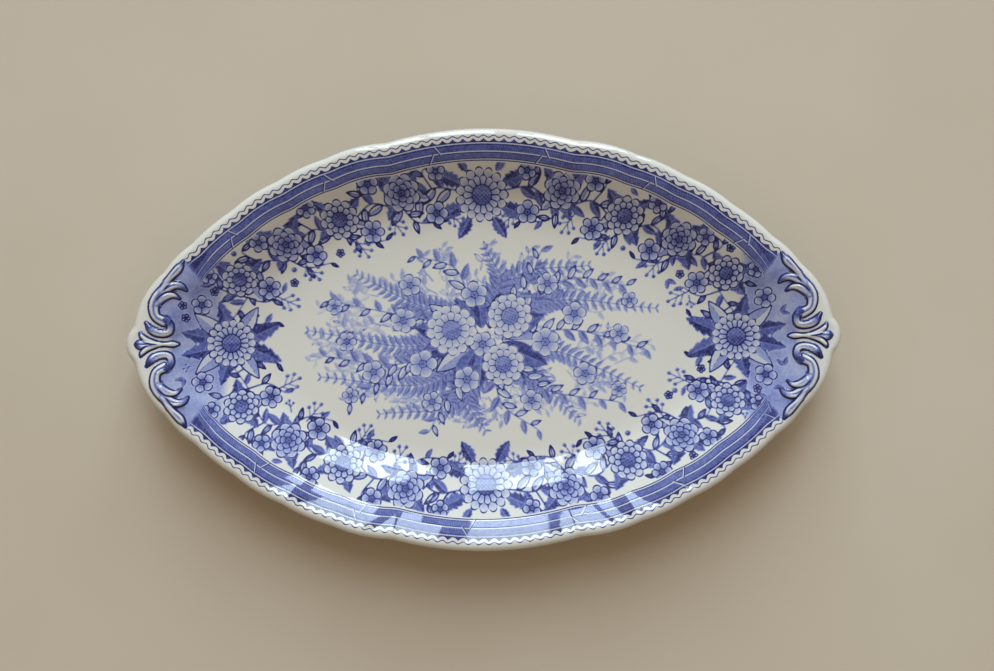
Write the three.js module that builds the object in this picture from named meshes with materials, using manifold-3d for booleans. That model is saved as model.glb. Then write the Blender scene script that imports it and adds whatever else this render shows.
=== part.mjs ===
// Small pointed-oval serving dish in moulded and glazed earthenware. Millimetres, +Z up.
// The origin is in the middle of the foot's standing face. X runs from tip to tip and Y across the dish.
import * as THREE from "three";
import { mergeVertices } from "three/addons/utils/BufferGeometryUtils.js";
import Module from "manifold-3d";

const wasm = await Module();
wasm.setup();

// Overall sizes
const LENGTH = 240;
const WIDTH = 142;
const HEIGHT = 26;
const WALL = 4.2; // the floor, the wall and the rim are one thickness

// The flat oval well, and the throat where the wall is steepest
const WELL_LENGTH = 134;
const WELL_WIDTH = 74;
const THROAT_WIDTH = 114;
const THROAT_DROP = 7.3; // from the rim's crest down to the throat
const THROAT_SLOPE = THREE.MathUtils.degToRad(44);
const RIM_SLOPE = THREE.MathUtils.degToRad(13);
const BEND_HANDLE = 0.45; // fullness of the section's bends, as a share of each bend's chord

// The foot, an oval ring set in from the edge of the flat underside
const FOOT_HEIGHT = 4.5;
const FOOT_INSET = 1.5;
const FOOT_BAND = 5; // width where it joins the underside
const FOOT_TREAD = 2.8; // width that stands on the table
const FOOT_EASE = 0.9; // height of the eased edges beside the tread
const FOOT_EASE_OUT = 0.45; // how far each eased edge stands out from the tread

// The nose at each tip of the outline
const NOSE_REACH = 2.7;
const NOSE_WIDTH = 12;
const NOSE_ROUND = 3.4; // half width of the nose's blunt front

// The lobed rim. A quarter runs from the middle of the long side to the nose. Each notch is given as a share of half the
// length and of half the width, with the bulge in millimetres of the lobe that ends there.
const FIRST_NOTCH = [0.267, 0.937];
const NOTCHES = [
  [0.437, 0.867, 1.1],
  [0.571, 0.764, 0.65],
  [0.702, 0.626, 0.8],
  [0.814, 0.471, 0.55],
  [0.891, 0.341, 0.7],
];
const END_LOBE_BULGE = 2.0;

// The relief at each tip, in bands. A band's points are its centre line as shares of half the length and half the
// width, with the half width of the band in millimetres.
const RELIEF_HEIGHT = 1.2;
const RELIEF_FULL_WIDTH = 1.2; // a band with at least this half width stands at the full height
const RELIEF_ROOT = 1; // how far a band is first drawn down into the rim, before it is cut to its seat
const SEAM = 0.3; // slip between a sprig and the rim
const SCROLL_BANDS = [
  // the C's spine, from the ball by the axis round to the curled end
  [
    [0.88, 0.096, 0.7],
    [0.892, 0.107, 1.6],
    [0.914, 0.132, 1.5],
    [0.919, 0.18, 1.7],
    [0.908, 0.224, 1.8],
    [0.885, 0.261, 1.6],
    [0.86, 0.278, 1.3],
    [0.841, 0.272, 1.0],
    [0.83, 0.254, 0.4],
  ],
  // the tongue inside the C
  [
    [0.91, 0.19, 1.0],
    [0.886, 0.224, 1.2],
    [0.865, 0.231, 0.9],
    [0.849, 0.215, 0.35],
  ],
  // the leaf that trails along the rim
  [
    [0.9, 0.25, 0.9],
    [0.874, 0.31, 1.1],
    [0.85, 0.352, 1.3],
    [0.835, 0.389, 0.35],
  ],
  // the hook that curls out of the ball and ends in a petal by the nose
  [
    [0.887, 0.114, 1.0],
    [0.876, 0.09, 1.1],
    [0.88, 0.057, 1.1],
    [0.9, 0.05, 1.2],
    [0.924, 0.066, 1.3],
    [0.941, 0.102, 0.4],
  ],
];
const PALMETTE_BANDS = [
  // the stem on the axis
  [
    [0.858, 0, 0.5],
    [0.872, 0, 1.0],
    [0.895, 0, 0.75],
    [0.93, 0, 1.2],
    [0.955, 0, 1.6],
    [0.971, 0, 0.4],
  ],
  // the two side tips of its head
  ...[1, -1].map((side) => [
    [0.905, 0.003 * side, 0.5],
    [0.936, 0.018 * side, 0.9],
    [0.952, 0.038 * side, 0.8],
    [0.958, 0.056 * side, 0.3],
  ]),
];
// A band's section from one side to the other: share of its half width, share of its height
const BAND_SECTION = [
  [-1, 0.2],
  [-0.82, 0.62],
  [-0.35, 0.96],
  [0.35, 0.96],
  [0.82, 0.62],
  [1, 0.2],
];

// Facets
const MIDDLE_LOBE_STEPS = 5;
const LOBE_STEPS = 4;
const END_LOBE_STEPS = 5;
const NOSE_STEPS = 4;
const WALL_STEPS = 5;
const RIM_STEPS = 4;
const FOOT_STEPS = 80;
const BAND_STEPS_PER_POINT = 2;

// Sizes that follow from those above
const FLOOR = FOOT_HEIGHT + WALL;
const RIM_INSET = (WALL / 2) * (1 + Math.sin(RIM_SLOPE)); // from the outline in to where the rounded edge begins
const EDGE_HEIGHT = HEIGHT - (WALL / 2) * (1 - Math.cos(RIM_SLOPE));
const EDGE_RUN = (WIDTH - WELL_WIDTH) / 2 - RIM_INSET; // across the short side, from the well out to the rounded edge
const THROAT_RUN = (THROAT_WIDTH - WELL_WIDTH) / 2;

const point = (x, y) => new THREE.Vector2(x, y);
const onDish = ([x, y]) => point((x * LENGTH) / 2, (y * WIDTH) / 2);

// A lobe of the rim between two notches, bulging outward
function lobe(from, to, bulge) {
  const along = to.clone().sub(from).normalize();
  const outward = point(-along.y, along.x);
  const control = from.clone().add(to).multiplyScalar(0.5).addScaledVector(outward, 2 * bulge);
  return new THREE.QuadraticBezierCurve(from, control, to);
}

// The rim's outline from the middle of the far side to the right tip
function quarterOutline() {
  const first = onDish(FIRST_NOTCH);
  const middle = new THREE.QuadraticBezierCurve(point(0, WIDTH / 2), point(first.x / 2, WIDTH / 2), first);
  const points = middle.getPoints(MIDDLE_LOBE_STEPS);
  let from = first;
  for (const [x, y, bulge] of NOTCHES) {
    const to = onDish([x, y]);
    points.push(...lobe(from, to, bulge).getPoints(LOBE_STEPS).slice(1));
    from = to;
  }
  const neck = point(LENGTH / 2 - NOSE_REACH, NOSE_WIDTH / 2);
  const tip = point(LENGTH / 2, 0);
  const nose = new THREE.QuadraticBezierCurve(neck, point(LENGTH / 2, NOSE_ROUND), tip);
  points.push(...lobe(from, neck, END_LOBE_BULGE).getPoints(END_LOBE_STEPS).slice(1));
  points.push(...nose.getPoints(NOSE_STEPS).slice(1));
  return points;
}

// The whole outline, anticlockwise from the right tip
function rimOutline() {
  const quarter = quarterOutline();
  const mirrored = quarter.map((p) => point(-p.x, p.y));
  const half = [...quarter.slice().reverse(), ...mirrored.slice(1)];
  const turned = half.map((p) => point(-p.x, -p.y));
  return [...half, ...turned.slice(1, -1)];
}

// The outward direction at each point of a closed anticlockwise outline
function outwardNormals(outline) {
  return outline.map((_, i) => {
    const before = outline.at(i - 1);
    const after = outline[(i + 1) % outline.length];
    return point(after.y - before.y, before.x - after.x).normalize();
  });
}

// A smooth curve between two points of the section that leaves and arrives at the given slopes
function bend(from, slopeFrom, to, slopeTo) {
  const handle = BEND_HANDLE * from.distanceTo(to);
  const leave = point(Math.cos(slopeFrom), Math.sin(slopeFrom)).multiplyScalar(handle).add(from);
  const arrive = point(Math.cos(slopeTo), Math.sin(slopeTo)).multiplyScalar(-handle).add(to);
  return new THREE.CubicBezierCurve(from, leave, arrive, to);
}

// The dish's section on the short side, from the edge of the well over the rim and back underneath: the distance out
// from the well, and the height. The underside runs one wall's thickness away from the upper face.
function dishSection() {
  const throat = point(THROAT_RUN, HEIGHT - THROAT_DROP);
  const wall = bend(point(0, FLOOR), 0, throat, THROAT_SLOPE);
  const flange = bend(throat, THROAT_SLOPE, point(EDGE_RUN, EDGE_HEIGHT), RIM_SLOPE);
  const upper = [];
  const under = [];
  for (const curve of [wall, flange]) {
    const firstStep = curve === wall ? 0 : 1;
    for (let step = firstStep; step <= WALL_STEPS; step++) {
      const along = curve.getTangent(step / WALL_STEPS);
      const place = curve.getPoint(step / WALL_STEPS);
      upper.push(place);
      under.unshift(point(place.x + WALL * along.y, place.y - WALL * along.x));
    }
  }
  const crest = upper.at(-1).clone().add(under[0]).multiplyScalar(0.5);
  const edge = [];
  for (let step = 1; step < RIM_STEPS; step++) {
    const turn = RIM_SLOPE + Math.PI * (0.5 - step / RIM_STEPS);
    edge.push(point(Math.cos(turn), Math.sin(turn)).multiplyScalar(WALL / 2).add(crest));
  }
  return [...upper, ...edge, ...under];
}

// One closed surface through rings of equal counts. A closed loft joins its last ring to its first, and an open one
// ends in a flat fan round a centre point at each end.
function loft(rings, closed, centres = []) {
  const count = rings[0].length;
  const positions = [...rings.flat(), ...centres].flatMap((p) => [p.x, p.y, p.z]);
  const triangles = [];
  const bands = closed ? rings.length : rings.length - 1;
  for (let i = 0; i < bands; i++) {
    const here = i * count;
    const next = ((i + 1) % rings.length) * count;
    for (let j = 0; j < count; j++) {
      const k = (j + 1) % count;
      triangles.push(here + j, next + j, next + k, here + j, next + k, here + k);
    }
  }
  if (!closed) {
    const last = (rings.length - 1) * count;
    const start = rings.length * count;
    for (let j = 0; j < count; j++) {
      const k = (j + 1) % count;
      triangles.push(start, j, k, start + 1, last + k, last + j);
    }
  }
  const geometry = new THREE.BufferGeometry();
  geometry.setAttribute("position", new THREE.Float32BufferAttribute(positions, 3));
  geometry.setIndex(triangles);
  return geometry;
}

// The body: the section carried round, from the well's oval to the lobed outline. The rounded edge keeps its own width
// all the way, and the wall between is stretched to fill.
function dishBody() {
  const outline = rimOutline();
  const outward = outwardNormals(outline);
  const inner = outline.map((p, i) => p.clone().addScaledVector(outward[i], -RIM_INSET));
  const well = outline.map((p) => {
    const turn = Math.atan2(p.y / WIDTH, p.x / LENGTH);
    return point((Math.cos(turn) * WELL_LENGTH) / 2, (Math.sin(turn) * WELL_WIDTH) / 2);
  });
  const ringAt = ({ x: run, y: height }) =>
    inner.map((p, i) => {
      const place =
        run <= EDGE_RUN
          ? well[i].clone().lerp(p, run / EDGE_RUN)
          : p.clone().addScaledVector(outward[i], run - EDGE_RUN);
      return new THREE.Vector3(place.x, place.y, height);
    });
  const centres = [new THREE.Vector3(0, 0, FLOOR), new THREE.Vector3(0, 0, FOOT_HEIGHT)];
  return loft(dishSection().map(ringAt), false, centres);
}

// The foot: its section carried round an oval parallel to the edge of the flat underside
function footRing() {
  const slack = (FOOT_BAND - FOOT_TREAD) / 2;
  const section = [
    point(-FOOT_BAND, FOOT_HEIGHT),
    point(0, FOOT_HEIGHT),
    point(-slack + FOOT_EASE_OUT, FOOT_EASE),
    point(-slack, 0),
    point(-slack - FOOT_TREAD, 0),
    point(-slack - FOOT_TREAD - FOOT_EASE_OUT, FOOT_EASE),
  ];
  const oval = new THREE.EllipseCurve(0, 0, WELL_LENGTH / 2, WELL_WIDTH / 2);
  const outline = oval.getPoints(FOOT_STEPS).slice(0, -1);
  const outward = outwardNormals(outline);
  const rings = section.map(({ x: out, y: height }) =>
    outline.map((p, i) => {
      const place = p.clone().addScaledVector(outward[i], out - FOOT_INSET);
      return new THREE.Vector3(place.x, place.y, height);
    }),
  );
  return loft(rings, true);
}

// A relief band along its centre line, domed above the rim and rooted a little way below it
function reliefBand(bandPoints, seatHeight) {
  const line = new THREE.CatmullRomCurve3(
    bandPoints.map((p) => new THREE.Vector3(onDish(p).x, onDish(p).y, p[2])),
  );
  const steps = BAND_STEPS_PER_POINT * bandPoints.length;
  const rings = [];
  const ends = [];
  for (let step = 0; step <= steps; step++) {
    const { x, y, z: halfWidth } = line.getPoint(step / steps);
    const along = line.getTangent(step / steps);
    const left = point(-along.y, along.x).normalize();
    const height = RELIEF_HEIGHT * Math.min(1, halfWidth / RELIEF_FULL_WIDTH);
    const across = (share, lift) => {
      const px = x + left.x * halfWidth * share;
      const py = y + left.y * halfWidth * share;
      return new THREE.Vector3(px, py, seatHeight(px, py) + lift);
    };
    const top = BAND_SECTION.map(([share, rise]) => across(share, SEAM + rise * height));
    const root = [1, -1].map((share) => across(share, -RELIEF_ROOT));
    rings.push([...top, ...root]);
    ends.push(across(0, 0));
  }
  return loft(rings, false, [ends[0], ends.at(-1)]);
}

function solidFrom(geometry) {
  const bare = new THREE.BufferGeometry();
  bare.setAttribute("position", geometry.getAttribute("position"));
  bare.setIndex(geometry.index);
  const merged = mergeVertices(bare);
  const solid = new wasm.Mesh({
    numProp: 3,
    vertProperties: merged.getAttribute("position").array,
    triVerts: new Uint32Array(merged.index.array),
  });
  return new wasm.Manifold(solid);
}

function geometryFrom(solid) {
  const { vertProperties, triVerts } = solid.getMesh();
  const geometry = new THREE.BufferGeometry();
  geometry.setAttribute("position", new THREE.BufferAttribute(vertProperties, 3));
  geometry.setIndex(new THREE.BufferAttribute(triVerts, 1));
  return geometry;
}

// A sprig: its bands joined, then cut so that it seats one seam above the rim
function sprig(bands, body) {
  const probe = new THREE.Mesh(body);
  const above = new THREE.Vector3();
  const down = new THREE.Vector3(0, 0, -1);
  const seatHeight = (x, y) => {
    const ray = new THREE.Raycaster(above.set(x, y, 2 * HEIGHT), down);
    return ray.intersectObject(probe)[0].point.z;
  };
  const joined = bands.map((band) => solidFrom(reliefBand(band, seatHeight))).reduce((a, b) => a.add(b));
  const seat = solidFrom(body.clone().translate(0, 0, SEAM));
  return geometryFrom(joined.subtract(seat));
}

const glaze = new THREE.MeshStandardMaterial({ color: 0xdcd8cc, roughness: 0.12, metalness: 0 });
const reliefGlaze = new THREE.MeshStandardMaterial({ color: 0xb9bfdc, roughness: 0.12, metalness: 0 });

const dish = new THREE.Group();

function addPiece(name, geometry, material, mirrorX = 1, mirrorY = 1) {
  const mesh = new THREE.Mesh(geometry, material);
  mesh.name = name;
  mesh.scale.set(mirrorX, mirrorY, 1);
  dish.add(mesh);
}

const body = dishBody();
addPiece("dish_body", body, glaze);
addPiece("foot_ring", footRing(), glaze);
const scroll = sprig(SCROLL_BANDS, body);
const palmette = sprig(PALMETTE_BANDS, body);
for (const [end, mirrorX] of [["right", 1], ["left", -1]]) {
  for (const [side, mirrorY] of [["upper", 1], ["lower", -1]]) {
    addPiece(`scroll_${end}_${side}`, scroll, reliefGlaze, mirrorX, mirrorY);
  }
  addPiece(`palmette_${end}`, palmette, reliefGlaze, mirrorX);
}

export default dish;
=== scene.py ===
"""Blue and white pointed-oval serving dish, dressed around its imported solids.

Shapes are worked out in millimetres in the solids' own frame and scaled to metres when a mesh is made.
"""
import math

import bpy
import numpy as np
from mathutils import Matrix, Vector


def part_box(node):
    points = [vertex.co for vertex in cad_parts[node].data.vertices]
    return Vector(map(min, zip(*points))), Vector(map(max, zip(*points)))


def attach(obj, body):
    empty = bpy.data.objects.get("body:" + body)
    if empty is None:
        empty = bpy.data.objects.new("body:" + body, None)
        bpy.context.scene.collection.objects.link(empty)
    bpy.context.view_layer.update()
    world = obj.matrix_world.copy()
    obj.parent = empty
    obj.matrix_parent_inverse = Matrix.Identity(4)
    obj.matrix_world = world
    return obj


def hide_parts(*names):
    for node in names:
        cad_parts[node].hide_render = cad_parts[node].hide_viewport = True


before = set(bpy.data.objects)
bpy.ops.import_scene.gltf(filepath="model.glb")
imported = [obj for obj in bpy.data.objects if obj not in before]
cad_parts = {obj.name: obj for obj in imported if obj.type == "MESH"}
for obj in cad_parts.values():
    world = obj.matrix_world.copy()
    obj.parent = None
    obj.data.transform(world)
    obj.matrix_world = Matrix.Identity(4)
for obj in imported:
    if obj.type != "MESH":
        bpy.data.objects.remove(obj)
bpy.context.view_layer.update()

MM = 0.001
RANDOM = np.random.default_rng(11)

# Sizes read from the solids
HALF_LENGTH, HALF_WIDTH, HEIGHT = np.array(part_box("dish_body")[1]) / MM
FOOT_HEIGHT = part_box("foot_ring")[1][2] / MM

# The dish's section and plan, as in the solids
WALL = 4.2
HALF_WELL = np.array([67.0, 37.0])
THROAT_RUN = 20.0
THROAT_DROP = 7.3
THROAT_SLOPE = math.radians(44)
RIM_SLOPE = math.radians(13)
BEND_HANDLE = 0.45
FLOOR = FOOT_HEIGHT + WALL
RIM_INSET = WALL / 2 * (1 + math.sin(RIM_SLOPE))
EDGE_HEIGHT = HEIGHT - WALL / 2 * (1 - math.cos(RIM_SLOPE))
EDGE_RUN = HALF_WIDTH - HALF_WELL[1] - RIM_INSET

# The lobed outline: notches as shares of the half sizes, with the bulge of the lobe that ends at each
FIRST_NOTCH = (0.267, 0.937)
NOTCHES = [
    (0.437, 0.867, 1.1), (0.571, 0.764, 0.65), (0.702, 0.626, 0.8),
    (0.814, 0.471, 0.55), (0.891, 0.341, 0.7),
]
END_LOBE_BULGE = 2.0
NOSE_REACH = 2.7
NOSE_HALF_WIDTH = 6.0
NOSE_ROUND = 3.4
EDGE_EASE = 0.7  # reach over which the outline's bends are eased
LOBE_EASE = 9.0  # reach that smooths the lobes away towards the well
LOBE_FADE = (0.35, 0.95)  # they grow between these shares of the way from the well to the rim

# Mesh counts
COLUMNS = 1536
LEAST_COLUMNS = 48
WALL_RINGS = 70
FLANGE_RINGS = 64
EDGE_RINGS = 12
UNDER_RINGS = 30
WELL_RINGS = 170
BASE_RINGS = 24


def smoothstep(low, high, value):
    share = np.clip((value - low) / (high - low), 0, 1)
    return share * share * (3 - 2 * share)


def direction(angle):
    return np.stack([np.cos(angle), np.sin(angle)], axis=-1)


def smooth_curve(knots, count):
    """A smooth open curve through the knots."""
    padded = np.vstack([2 * knots[0] - knots[1], knots, 2 * knots[-1] - knots[-2]])
    steps = np.linspace(0, len(knots) - 1 - 1e-6, count)
    first = steps.astype(int)
    t = (steps - first)[:, None]
    a, b, c, d = (padded[first + k] for k in range(4))
    square = 2 * a - 5 * b + 4 * c - d
    cube = 3 * b - a - 3 * c + d
    return 0.5 * (2 * b + (c - a) * t + square * t ** 2 + cube * t ** 3)


# Plan of the dish


def quadratic(start, control, end, count=40):
    t = np.linspace(0, 1, count, endpoint=False)[:, None]
    return (1 - t) ** 2 * np.array(start) + 2 * t * (1 - t) * np.array(control) + t ** 2 * np.array(end)


def lobe(start, end, bulge):
    along = np.subtract(end, start) / np.linalg.norm(np.subtract(end, start))
    control = np.add(start, end) / 2 + 2 * bulge * np.array([-along[1], along[0]])
    return quadratic(start, control, end)


def quarter_outline():
    """The rim from the middle of the far side to just before the right tip."""
    half = np.array([HALF_LENGTH, HALF_WIDTH])
    start = np.array(FIRST_NOTCH) * half
    pieces = [quadratic((0, HALF_WIDTH), (start[0] / 2, HALF_WIDTH), start)]
    for x, y, bulge in NOTCHES:
        end = np.array([x, y]) * half
        pieces.append(lobe(start, end, bulge))
        start = end
    neck = (HALF_LENGTH - NOSE_REACH, NOSE_HALF_WIDTH)
    pieces.append(lobe(start, neck, END_LOBE_BULGE))
    pieces.append(quadratic(neck, (HALF_LENGTH, NOSE_ROUND), (HALF_LENGTH, 0)))
    return np.concatenate(pieces)


def closed_lengths(points):
    """A line with its first point again at its end, and the length along it at each point."""
    closed = np.vstack([points, points[:1]])
    return closed, np.concatenate([[0], np.cumsum(np.linalg.norm(np.diff(closed, axis=0), axis=1))])


def resampled(points, count):
    """A closed line at equal steps along its length, starting where it starts."""
    closed, length = closed_lengths(points)
    steps = np.linspace(0, length[-1], count, endpoint=False)
    return np.column_stack([np.interp(steps, length, closed[:, axis]) for axis in (0, 1)])


def softened(points, reach):
    """A closed line of equal steps, with bends tighter than the reach in millimetres eased."""
    step = np.linalg.norm(points[1] - points[0])
    waves = np.fft.fftfreq(len(points), d=step)
    fade = np.exp(-2 * (math.pi * waves * reach) ** 2)[:, None]
    return np.real(np.fft.ifft(np.fft.fft(points, axis=0) * fade, axis=0))


def outward_normals(points):
    along = np.roll(points, -1, axis=0) - np.roll(points, 1, axis=0)
    normal = np.column_stack([along[:, 1], -along[:, 0]])
    return normal / np.linalg.norm(normal, axis=1)[:, None]


def rim_outline():
    quarter = quarter_outline()
    tip = np.array([[HALF_LENGTH, 0.0]])
    upper = np.vstack([tip, quarter[::-1], quarter[1:] * (-1, 1)])
    whole = np.vstack([upper, -upper])
    return softened(resampled(whole, COLUMNS), EDGE_EASE)


OUTLINE = rim_outline()
OUTWARD = outward_normals(OUTLINE)
INNER = OUTLINE - OUTWARD * RIM_INSET
INNER_SMOOTH = softened(INNER, LOBE_EASE)
WELL_TURN = np.arctan2(OUTLINE[:, 1] / HALF_WIDTH, OUTLINE[:, 0] / HALF_LENGTH)
WELL = direction(WELL_TURN) * HALF_WELL


def plan_ring(run):
    """Plan of the ring at this distance out from the well, measured on the short side."""
    if run > EDGE_RUN:
        return INNER + OUTWARD * (run - EDGE_RUN)
    share = run / EDGE_RUN
    rim = INNER_SMOOTH + (INNER - INNER_SMOOTH) * smoothstep(*LOBE_FADE, share)
    return WELL + (rim - WELL) * share


# Section of the dish


def bend(start, slope_start, end, slope_end, count):
    """Points and directions of a smooth curve between two points of the section."""
    handle = BEND_HANDLE * math.dist(start, end)
    leave = start + handle * direction(slope_start)
    arrive = end - handle * direction(slope_end)
    corners = np.array([start, leave, arrive, end])
    t = np.linspace(0, 1, count + 1)[:, None]
    place = sum(math.comb(3, k) * t ** k * (1 - t) ** (3 - k) * corners[k] for k in range(4))
    edges = np.diff(corners, axis=0)
    along = sum(math.comb(2, k) * t ** k * (1 - t) ** (2 - k) * edges[k] for k in range(3))
    return place, along / np.linalg.norm(along, axis=1)[:, None]


def upper_section(wall_count, flange_count):
    """Points and directions of the upper face, from the well out to the rim."""
    throat = (THROAT_RUN, HEIGHT - THROAT_DROP)
    wall = bend((0, FLOOR), 0, throat, THROAT_SLOPE, wall_count)
    flange = bend(throat, THROAT_SLOPE, (EDGE_RUN, EDGE_HEIGHT), RIM_SLOPE, flange_count)
    place, along = (np.vstack([low, high[1:]]) for low, high in zip(wall, flange))
    return place, along


def edge_section():
    place, along = upper_section(1, 1)
    centre = place[-1] + WALL / 2 * np.array([along[-1][1], -along[-1][0]])
    turns = RIM_SLOPE + math.pi * (0.5 - np.arange(1, EDGE_RINGS) / EDGE_RINGS)
    return centre + WALL / 2 * direction(turns)


def under_section():
    place, along = upper_section(UNDER_RINGS, UNDER_RINGS)
    return (place + WALL * np.column_stack([along[:, 1], -along[:, 0]]))[::-1]


# Relief bands at a tip: centre line as shares of the half sizes, and half width in millimetres

SPINE = [
    (0.88, 0.096, 0.7), (0.892, 0.107, 1.6), (0.914, 0.132, 1.5), (0.919, 0.18, 1.7), (0.908, 0.224, 1.8),
    (0.885, 0.261, 1.6), (0.86, 0.278, 1.3), (0.841, 0.272, 1.0), (0.83, 0.254, 0.4),
]
TONGUE = [(0.91, 0.19, 1.0), (0.886, 0.224, 1.2), (0.865, 0.231, 0.9), (0.849, 0.215, 0.35)]
TRAILING_LEAF = [(0.9, 0.25, 0.9), (0.874, 0.31, 1.1), (0.85, 0.352, 1.3), (0.835, 0.389, 0.35)]
HOOK = [
    (0.887, 0.114, 1.0), (0.876, 0.09, 1.1), (0.88, 0.057, 1.1), (0.9, 0.05, 1.2), (0.924, 0.066, 1.3),
    (0.941, 0.102, 0.4),
]
STEM = [
    (0.858, 0, 0.5), (0.872, 0, 1.0), (0.895, 0, 0.75), (0.93, 0, 1.2), (0.955, 0, 1.6), (0.971, 0, 0.4),
]
STEM_TIP = [(0.905, 0.003, 0.5), (0.936, 0.018, 0.9), (0.952, 0.038, 0.8), (0.958, 0.056, 0.3)]
# Each band with the ink at its start and at its end
RELIEF_BANDS = [
    (SPINE, 0.0, 0.6), (TONGUE, 0.7, 0.8), (TRAILING_LEAF, 0.6, 0.95), (HOOK, 0.8, 0.95), (STEM, 0.0, 0.9),
    (STEM_TIP, 0.0, 0.95),
]
SCROLL = slice(0, 4)  # the bands of a scroll sprig
PALMETTE = slice(4, 6)  # those of the stem between two scrolls
RELIEF_PLACE = (0.78, 0.45)  # the bands lie beyond and within these shares of the half sizes
RELIEF_HEIGHT = 1.35
RELIEF_FULL_WIDTH = 1.2  # half width from which a band has its full height
LEAST_HALF_WIDTH = 0.2
START_SHARE = 0.12  # share of a band's length in which it rises
START_HEIGHT = 0.4  # share of its height that it rises from
DOME_POWER = 0.6
GROOVE_HALF = 0.24  # share of the band's half width
GROOVED_WIDTHS = (0.9, 1.4)  # half widths between which the groove comes in
GROOVE_DEPTH = 0.3
GROOVE_INK = 0.66
SKIRT_HEIGHT = 0.12
SKIRT_REACH = 0.3
EDGE_LINE = 0.05  # how far outside a band the middle of its inked edge lies
EDGE_LINE_SPREAD = 0.36
START_SHADE = (0.42, 0.1)  # shares of a band's length between which its shading fades
END_SHADE = (0.72, 0.95)


def relief_at(plan):
    """Relief at points in plan, mirrored to both tips and both sides.

    Gives each band's height and distance to its edge, the inks of lines and shading, where the bands lie, and
    the hollows between them.
    """
    folded = np.abs(plan)
    heights = np.zeros((len(RELIEF_BANDS), len(plan)))
    reach = np.full((len(RELIEF_BANDS), len(plan)), np.inf)
    line, tone, inside, hollow = np.zeros((4, len(plan)))
    at_tip = folded[:, 0] > RELIEF_PLACE[0] * HALF_LENGTH
    near = np.flatnonzero(at_tip & (folded[:, 1] < RELIEF_PLACE[1] * HALF_WIDTH))
    for i, (points, start_ink, end_ink) in enumerate(RELIEF_BANDS):
        curve = smooth_curve(np.array(points) * (HALF_LENGTH, HALF_WIDTH, 1), count=160)
        gaps = np.linalg.norm(folded[near][:, None, :] - curve[None, :, :2], axis=2)
        shares_across = gaps / np.maximum(curve[:, 2], LEAST_HALF_WIDTH)
        closest = shares_across.argmin(axis=1)
        across = shares_across.min(axis=1)
        half_width = np.maximum(curve[closest, 2], LEAST_HALF_WIDTH)
        beyond = across * half_width - half_width
        share = closest / (len(curve) - 1)
        begun = 1 if points is STEM else smoothstep(0.0, START_SHARE, share)
        rise = START_HEIGHT + (1 - START_HEIGHT) * begun
        full = RELIEF_HEIGHT * np.minimum(1, half_width / RELIEF_FULL_WIDTH) * rise
        dome = np.clip(1 - across ** 2, 0, 1) ** DOME_POWER
        groove = np.exp(-(across / GROOVE_HALF) ** 2) * smoothstep(*GROOVED_WIDTHS, half_width)
        skirt = SKIRT_HEIGHT * np.exp(-np.maximum(beyond, 0) / SKIRT_REACH)
        heights[i, near] = full * np.maximum(dome * (1 - GROOVE_DEPTH * groove), skirt)
        reach[i, near] = beyond
        edge = np.exp(-((beyond - EDGE_LINE) / EDGE_LINE_SPREAD) ** 2) * begun
        line[near] = np.maximum(line[near] * smoothstep(0.85, 1.05, across), edge)
        start_shade = start_ink * smoothstep(*START_SHADE, share) * (1 if points is HOOK else across)
        shade = np.maximum(end_ink * smoothstep(*END_SHADE, share), start_shade)
        over = smoothstep(1.05, 0.9, across)
        tone[near] = tone[near] * (1 - over) + over * np.maximum(shade, GROOVE_INK * groove)
        inside[near] = np.maximum(inside[near], smoothstep(1.35, 1.1, across))
    first, second = np.sort(reach[:, near], axis=0)[:2]
    hollow[near] = smoothstep(1.5, 0.5, second) * smoothstep(0.0, 0.2, first)
    return heights, reach, line, tone, inside, hollow


# The print, drawn in plan on sheets of ink


class Sheets:
    """Tone for fills, line for engraved strokes, and cover where a motif hides the ground."""

    STEP = 0.1  # millimetres a cell
    MARGIN = 1.1  # a motif's window for its size

    def __init__(self):
        self.rows = int(2 * HALF_WIDTH / self.STEP)
        self.columns = int(2 * HALF_LENGTH / self.STEP)
        self.tone, self.line, self.cover = np.zeros((3, self.rows, self.columns), np.float32)

    def window(self, place, reach):
        """The cells within reach of a place, and their distances from it."""
        x, y = place
        cells = reach / self.STEP
        where, steps = [], []
        for along, half, count in ((y, HALF_WIDTH, self.rows), (x, HALF_LENGTH, self.columns)):
            middle = (along + half) / self.STEP
            first, last = max(0, int(middle - cells)), min(count, int(middle + cells) + 1)
            where.append(slice(first, last))
            steps.append((np.arange(first, last) - middle) * self.STEP)
        return tuple(where), *np.meshgrid(*steps[::-1])

    def stamp(self, place, angle, reach, strength, motif, *sizes):
        """Lays a motif over what is there."""
        where, over, down = self.window(place, reach)
        u = over * math.cos(angle) + down * math.sin(angle)
        v = down * math.cos(angle) - over * math.sin(angle)
        cover, tone, line = motif(u, v, *sizes)
        self.tone[where] = self.tone[where] * (1 - cover) + strength * tone * cover
        self.line[where] = np.maximum(self.line[where] * (1 - cover), strength * line)
        self.cover[where] = np.maximum(self.cover[where], cover)

    def lay(self, place, angle, strength, motif, size, *more):
        """Stamps a motif whose first size is its length or radius."""
        self.stamp(place, angle, self.MARGIN * size, strength, motif, size, *more)

    def sampled(self, sheet, plan):
        """The sheet's ink at places in plan, read between the cells around each."""
        column = np.clip((plan[:, 0] + HALF_LENGTH) / self.STEP, 0, self.columns - 1.001)
        row = np.clip((plan[:, 1] + HALF_WIDTH) / self.STEP, 0, self.rows - 1.001)
        left, under = column.astype(int), row.astype(int)
        across, up = column - left, row - under
        low = sheet[under, left] * (1 - across) + sheet[under, left + 1] * across
        high = sheet[under + 1, left] * (1 - across) + sheet[under + 1, left + 1] * across
        return low * (1 - up) + high * up


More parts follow.
